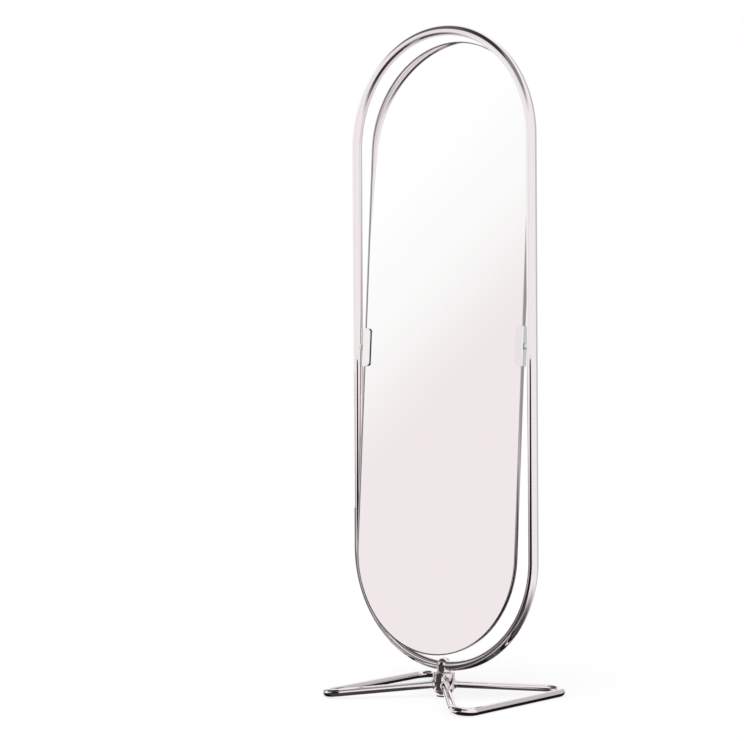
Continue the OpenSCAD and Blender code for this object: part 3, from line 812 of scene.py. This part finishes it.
CLIP_IN = CLIP_OUT - CLIP_W
hollow = CLIP_DEPTH / 2 - CLIP_T
outline = clip_outline(CLIP_IN, CLIP_OUT, -CLIP_H / 2, CLIP_H / 2)
pad_edge = RIM_W / 2 - RIM_T - GLASS_PLAY
channel_section = rounded([
    (CLIP_IN, -CLIP_DEPTH / 2, 0), (CLIP_OUT, -CLIP_DEPTH / 2, CLIP_BEND),
    (CLIP_OUT, CLIP_DEPTH / 2, CLIP_BEND), (CLIP_IN, CLIP_DEPTH / 2, 0), (CLIP_IN, hollow, 0),
    (CLIP_OUT - CLIP_T, hollow, 0.6 * MM), (CLIP_OUT - CLIP_T, -hollow, 0.6 * MM), (CLIP_IN, -hollow, 0)])
for side, word in ((LEFT, "left"), (RIGHT, "right")):
    mirrored = Matrix.Scale(side, 4, (1, 0, 0))
    channel = prism("channel", channel_section, -CLIP_H / 2, CLIP_H / 2)
    plate = prism("plate", outline, -CLIP_DEPTH, CLIP_DEPTH)
    plate.transform(LYING_TO_UPRIGHT)
    channel = combined(channel, [plate], "INTERSECT")
    pin_hole = rod("pin_hole", PIN_D / 2, 2 * CLIP_T,
                   turn_to(Vector((1, 0, 0)), Vector((CLIP_OUT - CLIP_T * 1.5, 0, 0))))
    screw_holes = [rod("screw_hole", CLIP_SCREW_D / 2 + SCREW_PLAY, CLIP_DEPTH, turn_to(BACK, place), 24)
                   for place in at_clip_screws() if place.x > 0]
    channel = bevelled(combined(channel, [pin_hole] + screw_holes, "DIFFERENCE"), CLIP_EDGE)
    channel.transform(panel_matrix @ mirrored)
    outward(channel)
    piece(f"clip_{word}", eased(channel, 30), "panel", "clip_chrome", [f"clip_channel_{word}"], clip_chrome)

    pad = prism("pad", outline, -GLASS_FRONT, hollow)
    pad.transform(LYING_TO_UPRIGHT)
    keep = prism("keep", [(0, -CLIP_DEPTH), (pad_edge, -CLIP_DEPTH),
                          (pad_edge, CLIP_DEPTH), (0, CLIP_DEPTH)], -CLIP_H, CLIP_H)
    pad = combined(pad, [keep], "INTERSECT")
    pad.transform(panel_matrix @ mirrored)
    outward(pad)
    piece(f"clip_filler_{word}", eased(pad, 30), "panel", "black_rubber", [f"clip_pad_{word}"], rubber)

    sideways = Matrix.Rotation(side * math.pi / 2, 4, "Y")
    pin = turned("pin", rounded([
        (0, CLIP_OUT - CLIP_T, 0), (PIN_D / 2, CLIP_OUT - CLIP_T, 0.4 * MM), (PIN_D / 2, CLIP_OUT, 0),
        (SHOULDER_D / 2, CLIP_OUT, 0.5 * MM), (SHOULDER_D / 2, WASHER_START, 0.5 * MM),
        (PIN_D / 2, WASHER_START, 0), (PIN_D / 2, PIN_END, 0.8 * MM), (0, PIN_END, 0)]))
    pin.transform(panel_matrix @ sideways)
    piece(f"shouldered_pin_{word}", eased(pin), "panel", "zinc_plate", [f"pivot_pin_{word}"], bright_zinc)

    washer_r, washer_end = PIN_D / 2 + WASHER_BORE_PLAY, WASHER_START + WASHER_T
    washer = turned("washer", rounded([
        (washer_r, WASHER_START, 0.3 * MM), (WASHER_D / 2, WASHER_START, 0.4 * MM),
        (WASHER_D / 2, washer_end, 0.4 * MM), (washer_r, washer_end, 0.3 * MM)]), closed=True)
    washer.transform(panel_matrix @ sideways)
    piece(f"soft_washer_{word}", eased(washer), "panel", "nylon", [f"friction_washer_{word}"], silicone)

    leg_middle = TUBE_FACE + TUBE_D / 2
    flange = turned("flange", rounded([
        (0, FLANGE_START, 0), (WASHER_D / 2, FLANGE_START, 0.5 * MM),
        (WASHER_D / 2, leg_middle, 0), (0, leg_middle, 0)]))
    leg = rod("leg", TUBE_D / 2 + BORE_PLAY, TUBE_D * 2,
              Matrix.Translation((0, 0, leg_middle)) @ Matrix.Rotation(math.pi / 2, 4, "Y")
              @ Matrix.Translation((0, 0, -TUBE_D)), 96)
    flange = combined(flange, [leg], "DIFFERENCE")
    sleeve = rod("sleeve", PIN_D / 2 + BUSH_WALL, BUSH_LEN, Matrix.Translation((0, 0, FLANGE_START)))
    bush = combined(flange, [sleeve], "UNION")
    bore = rod("bore", PIN_D / 2 + RUNNING_PLAY, 3 * TUBE_D, Matrix.Translation((0, 0, CLIP_OUT)))
    bush = combined(bush, [bore], "DIFFERENCE")
    bush.transform(Matrix.Translation((0, 0, PIVOT_Z)) @ sideways)
    piece(f"nylon_bush_{word}", eased(bush, 30), "stand", "nylon", [f"pivot_bush_{word}"], nylon)

shank_r, head_h = CLIP_SCREW_D / 2 - SCREW_PLAY / 2, CLIP_SCREW_D / 2
button_head = recessed_screw("clip_screw", rounded([
    (0, CLIP_SCREW_TIP, 0), (shank_r, CLIP_SCREW_TIP, 0.4 * MM), (shank_r, 0, 0),
    (CLIP_SCREW_D, 0, 0.3 * MM), (CLIP_SCREW_D, head_h, 1.3 * MM), (0, head_h, 0)]),
    hexagon_r=1.35 * MM, depth=1.2 * MM, top=head_h)
rear = panel_matrix.to_3x3() @ BACK
screws("clip_button_screws", button_head,
       [(panel_matrix @ (place + BACK * CLIP_DEPTH / 2), rear) for place in at_clip_screws()],
       "panel", "zinc_plate", ["clip_screws"], zinc_plate)

for node, material in {"hub_bolt": zinc_plate, "hub_bolt_washer": zinc_plate, "hub_saddle_nut": bare_zinc,
                       "wing_grub_screws": zinc_plate, "backing_board": hardboard,
                       "mounting_tape": foam}.items():
    mesh = frame["nodes"][node].data
    mesh.materials.clear()
    mesh.materials.append(material)


# ---- Studio: white all round at eye level, dark above and under foot, as a polished tube needs ----

def bearing(azimuth, elevation):
    """The direction at an azimuth from +X and an elevation, in degrees."""
    a, e = math.radians(azimuth), math.radians(elevation)
    return Vector((math.cos(a) * math.cos(e), math.sin(a) * math.cos(e), math.sin(e)))


def studio_plane(name, corners, material):
    mesh = mesh_of(name, corners, [range(len(corners))])
    mesh.materials.append(material)
    made = loose_object(mesh)
    return made


WORLD_LIGHT = 0.75      # on matt surfaces; mirrors and the camera see 1
SUN_LIGHT = 0.8
SHADOW_SHARE = 0.3      # of the floor's shadow that the camera sees
FLOOR_WHITE = 1.1       # to the camera only
FLOOR_HALF = 8.0

floor_material = bpy.data.materials.new("matt_white_studio_floor")
floor_material.use_nodes = True
tree = floor_material.node_tree
tree.nodes.clear()
path = add(tree, "ShaderNodeLightPath")
matt = add(tree, "ShaderNodeBsdfDiffuse", None, {"Color": rgb("#F4F4F4")})
white = add(tree, "ShaderNodeEmission", None, {"Color": rgb("#FFFFFF"), "Strength": FLOOR_WHITE})
lift = add(tree, "ShaderNodeMath", {"operation": "MULTIPLY"},
           {0: path.outputs["Is Camera Ray"], 1: 1 - SHADOW_SHARE})
both = add(tree, "ShaderNodeMixShader", None, {0: lift.outputs[0], 1: matt.outputs[0], 2: white.outputs[0]})
add(tree, "ShaderNodeOutputMaterial", None, {"Surface": both.outputs[0]})
floor = studio_plane("studio_floor", [(x * FLOOR_HALF, y * FLOOR_HALF, 0)
                                      for x, y in ((-1, -1), (1, -1), (1, 1), (-1, 1))], floor_material)
floor.visible_glossy = False

# Dark cards that only the chrome reflects. In front they draw the thin dark lines down the tubes' lower
# halves, on the floor the dark lower edges of the hoop, the hub and the wings. The mirror's own rays are
# perfectly sharp (singular) and pass through them, so the glass shows a plain pale studio from any side.
def card_paper(name, colour):
    made = bpy.data.materials.new(name)
    made.use_nodes = True
    tree = made.node_tree
    tree.nodes.clear()
    path = add(tree, "ShaderNodeLightPath")
    dull = add(tree, "ShaderNodeEmission", None, {"Color": rgb(colour), "Strength": 1.0})
    clear = add(tree, "ShaderNodeBsdfTransparent")
    both = add(tree, "ShaderNodeMixShader", None,
               {0: path.outputs["Is Singular Ray"], 1: dull.outputs[0], 2: clear.outputs[0]})
    add(tree, "ShaderNodeOutputMaterial", None, {"Surface": both.outputs[0]})
    return made


black_paper = card_paper("black_card", "#1C1A1B")
grey_paper = card_paper("grey_card", "#464344")
pale_paper = card_paper("pale_card", "#7A7677")
light_paper = card_paper("light_card", "#BEBABC")
CARD_Y = -1.1
SIDE_Y = -0.19


def hung_card(name, y, corners, material):
    """A card that hangs across the view at a depth, from its (x, z) corners."""
    return studio_plane(name, [(x, y, z) for x, z in corners], material)


def floor_card(name, corners, material, z=0):
    return studio_plane(name, [(x, y, z) for x, y in corners], material)


cards = [
    hung_card("front_card", CARD_Y, [(-0.6, 0), (0.45, 0), (0.45, 0.86), (-0.15, 0.86), (-0.36, 0.57),
                                     (-0.54, 0.45), (-0.68, 0.34)], black_paper),
    hung_card("low_left_card", CARD_Y, [(-1.1, 0), (-0.61, 0), (-0.69, 0.24), (-1.1, 0.24)], pale_paper),
    hung_card("side_card", SIDE_Y, [(-0.555, 0), (-0.42, 0), (-0.42, 0.5), (-0.49, 0.83), (-0.555, 0.83)],
              pale_paper),
    studio_plane("far_side_card", [(-0.6, 0, 0), (-0.555, SIDE_Y, 0), (-0.555, SIDE_Y, 0.45),
                                   (-0.6, 0, 0.45)], pale_paper),
    # On the floor they are painted shade that only the chrome sees: the black strips under the wings' outer
    # bars and beside the hub stand for their shadows, and the grey and light sheets darken the floor in
    # front and to the left.
    floor_card("left_floor_card", [(-1.0, -1.0), (-0.6, -1.0), (-0.6, -0.35), (-0.26, -0.28),
                                   (-0.16, -0.08), (-0.16, 0.05), (-0.6, 0.05)], light_paper, -MM),
    floor_card("front_floor_card", [(-0.6, CARD_Y), (0.42, CARD_Y), (0.42, -0.35), (0.08, -0.35),
                                    (0.02, -0.05), (-0.06, -0.05), (-0.26, -0.28), (-0.6, -0.35)],
               grey_paper),
    floor_card("hub_floor_card", [(0.04, -0.02), (0.13, -0.09), (0.13, 0.09), (0.04, 0.02)], black_paper),
    floor_card("right_wing_card", [(0.2, -0.29), (0.28, -0.29), (0.28, 0.29), (0.2, 0.29)], black_paper),
    floor_card("left_wing_card", [(-0.28, -0.29), (-0.2, -0.29), (-0.2, 0.29), (-0.28, 0.29)], black_paper)]
for card in cards:
    for ray in ("camera", "diffuse", "shadow", "transmission", "volume_scatter"):
        setattr(card, f"visible_{ray}", False)

sun_data = bpy.data.lights.new("soft_sun", "SUN")
sun_data.energy = SUN_LIGHT
sun_data.angle = math.radians(50)
sun = bpy.data.objects.new("soft_sun", sun_data)
sun.rotation_euler = bearing(-70, 60).to_track_quat("Z", "Y").to_euler()
sun.visible_glossy = False
bpy.context.collection.objects.link(sun)

world = bpy.data.worlds.new("studio")
bpy.context.scene.world = world
world.use_nodes = True
tree = world.node_tree
tree.nodes.clear()
path = add(tree, "ShaderNodeLightPath")
direction = add(tree, "ShaderNodeTexCoord").outputs["Generated"]


def facing(vector, start, end, low, high):
    """A level that goes from low to high as the ray turns towards a vector, from one cosine to another."""
    cosine = add(tree, "ShaderNodeVectorMath", {"operation": "DOT_PRODUCT"}, {0: direction, 1: vector})
    return add(tree, "ShaderNodeMapRange", {"interpolation_type": "SMOOTHSTEP"}, {
        "Value": cosine.outputs["Value"], "From Min": start, "From Max": end,
        "To Min": low, "To Max": high}).outputs[0]


def patch(azimuth, elevation, inner, outer, level):
    """A round patch of the surroundings at a level, soft between two angles from its middle."""
    return facing(bearing(azimuth, elevation), math.cos(math.radians(outer)),
                  math.cos(math.radians(inner)), 1.0, level)


def joined_by(operation, *values):
    """Several numbers multiplied, or the largest of them."""
    result = values[0]
    for value in values[1:]:
        result = add(tree, "ShaderNodeMath", {"operation": operation}, {0: result, 1: value}).outputs[0]
    return result


UP = Vector((0, 0, 1))
sharp = path.outputs["Is Singular Ray"]               # the mirror's own rays
shade = joined_by("MULTIPLY",
                  facing(UP, -0.8, -0.32, 0.075, 1.0),    # under foot
                  patch(-138, 52, 30, 36, 0.13),          # above, to the left of the camera
                  patch(-80, 55, 22, 42, 0.25),
                  patch(72, 14, 28, 44, 0.58))            # the wall behind, to the right
shade = joined_by("MAXIMUM", shade, sharp)

# The faint blush in the mirror: its edge runs through two bearings, and it fades upwards in other views
blush_side = bearing(-126.7, 9.8).cross(bearing(-131.1, 4.4)).normalized()
photo_side = facing(bearing(-129, 4), math.cos(math.radians(14)), math.cos(math.radians(9)), 0.0, 1.0)
low_down = joined_by("MULTIPLY", facing(UP, 0.0, 0.2, 1.0, 0.2), sharp)
blush = joined_by("MULTIPLY", facing(blush_side, -0.03, 0.03, 0.0, 1.0),
                  joined_by("MAXIMUM", photo_side, low_down))
wall = add(tree, "ShaderNodeMix", {"data_type": "RGBA"}, {0: blush, 6: rgb("#FFFFFF"), 7: rgb("#F4EBED")})
level = joined_by("MULTIPLY", shade, facing(blush_side, -0.08, -0.03, 1.06, 1.0))
seen = add(tree, "ShaderNodeVectorMath", {"operation": "SCALE"}, {0: wall.outputs[2], "Scale": level})
reflected = add(tree, "ShaderNodeBackground", None, {"Color": seen.outputs[0], "Strength": 1.0})
plain_level = add(tree, "ShaderNodeMapRange", None, {
    "Value": path.outputs["Is Camera Ray"], "To Min": WORLD_LIGHT, "To Max": 1.0})
plain = add(tree, "ShaderNodeBackground", None,
            {"Color": rgb("#FFFFFF"), "Strength": plain_level.outputs[0]})
shiny = joined_by("MAXIMUM", path.outputs["Is Glossy Ray"], path.outputs["Is Transmission Ray"])
chosen = add(tree, "ShaderNodeMixShader", None, {0: shiny, 1: plain.outputs[0], 2: reflected.outputs[0]})
add(tree, "ShaderNodeOutputWorld", None, {"Surface": chosen.outputs[0]})
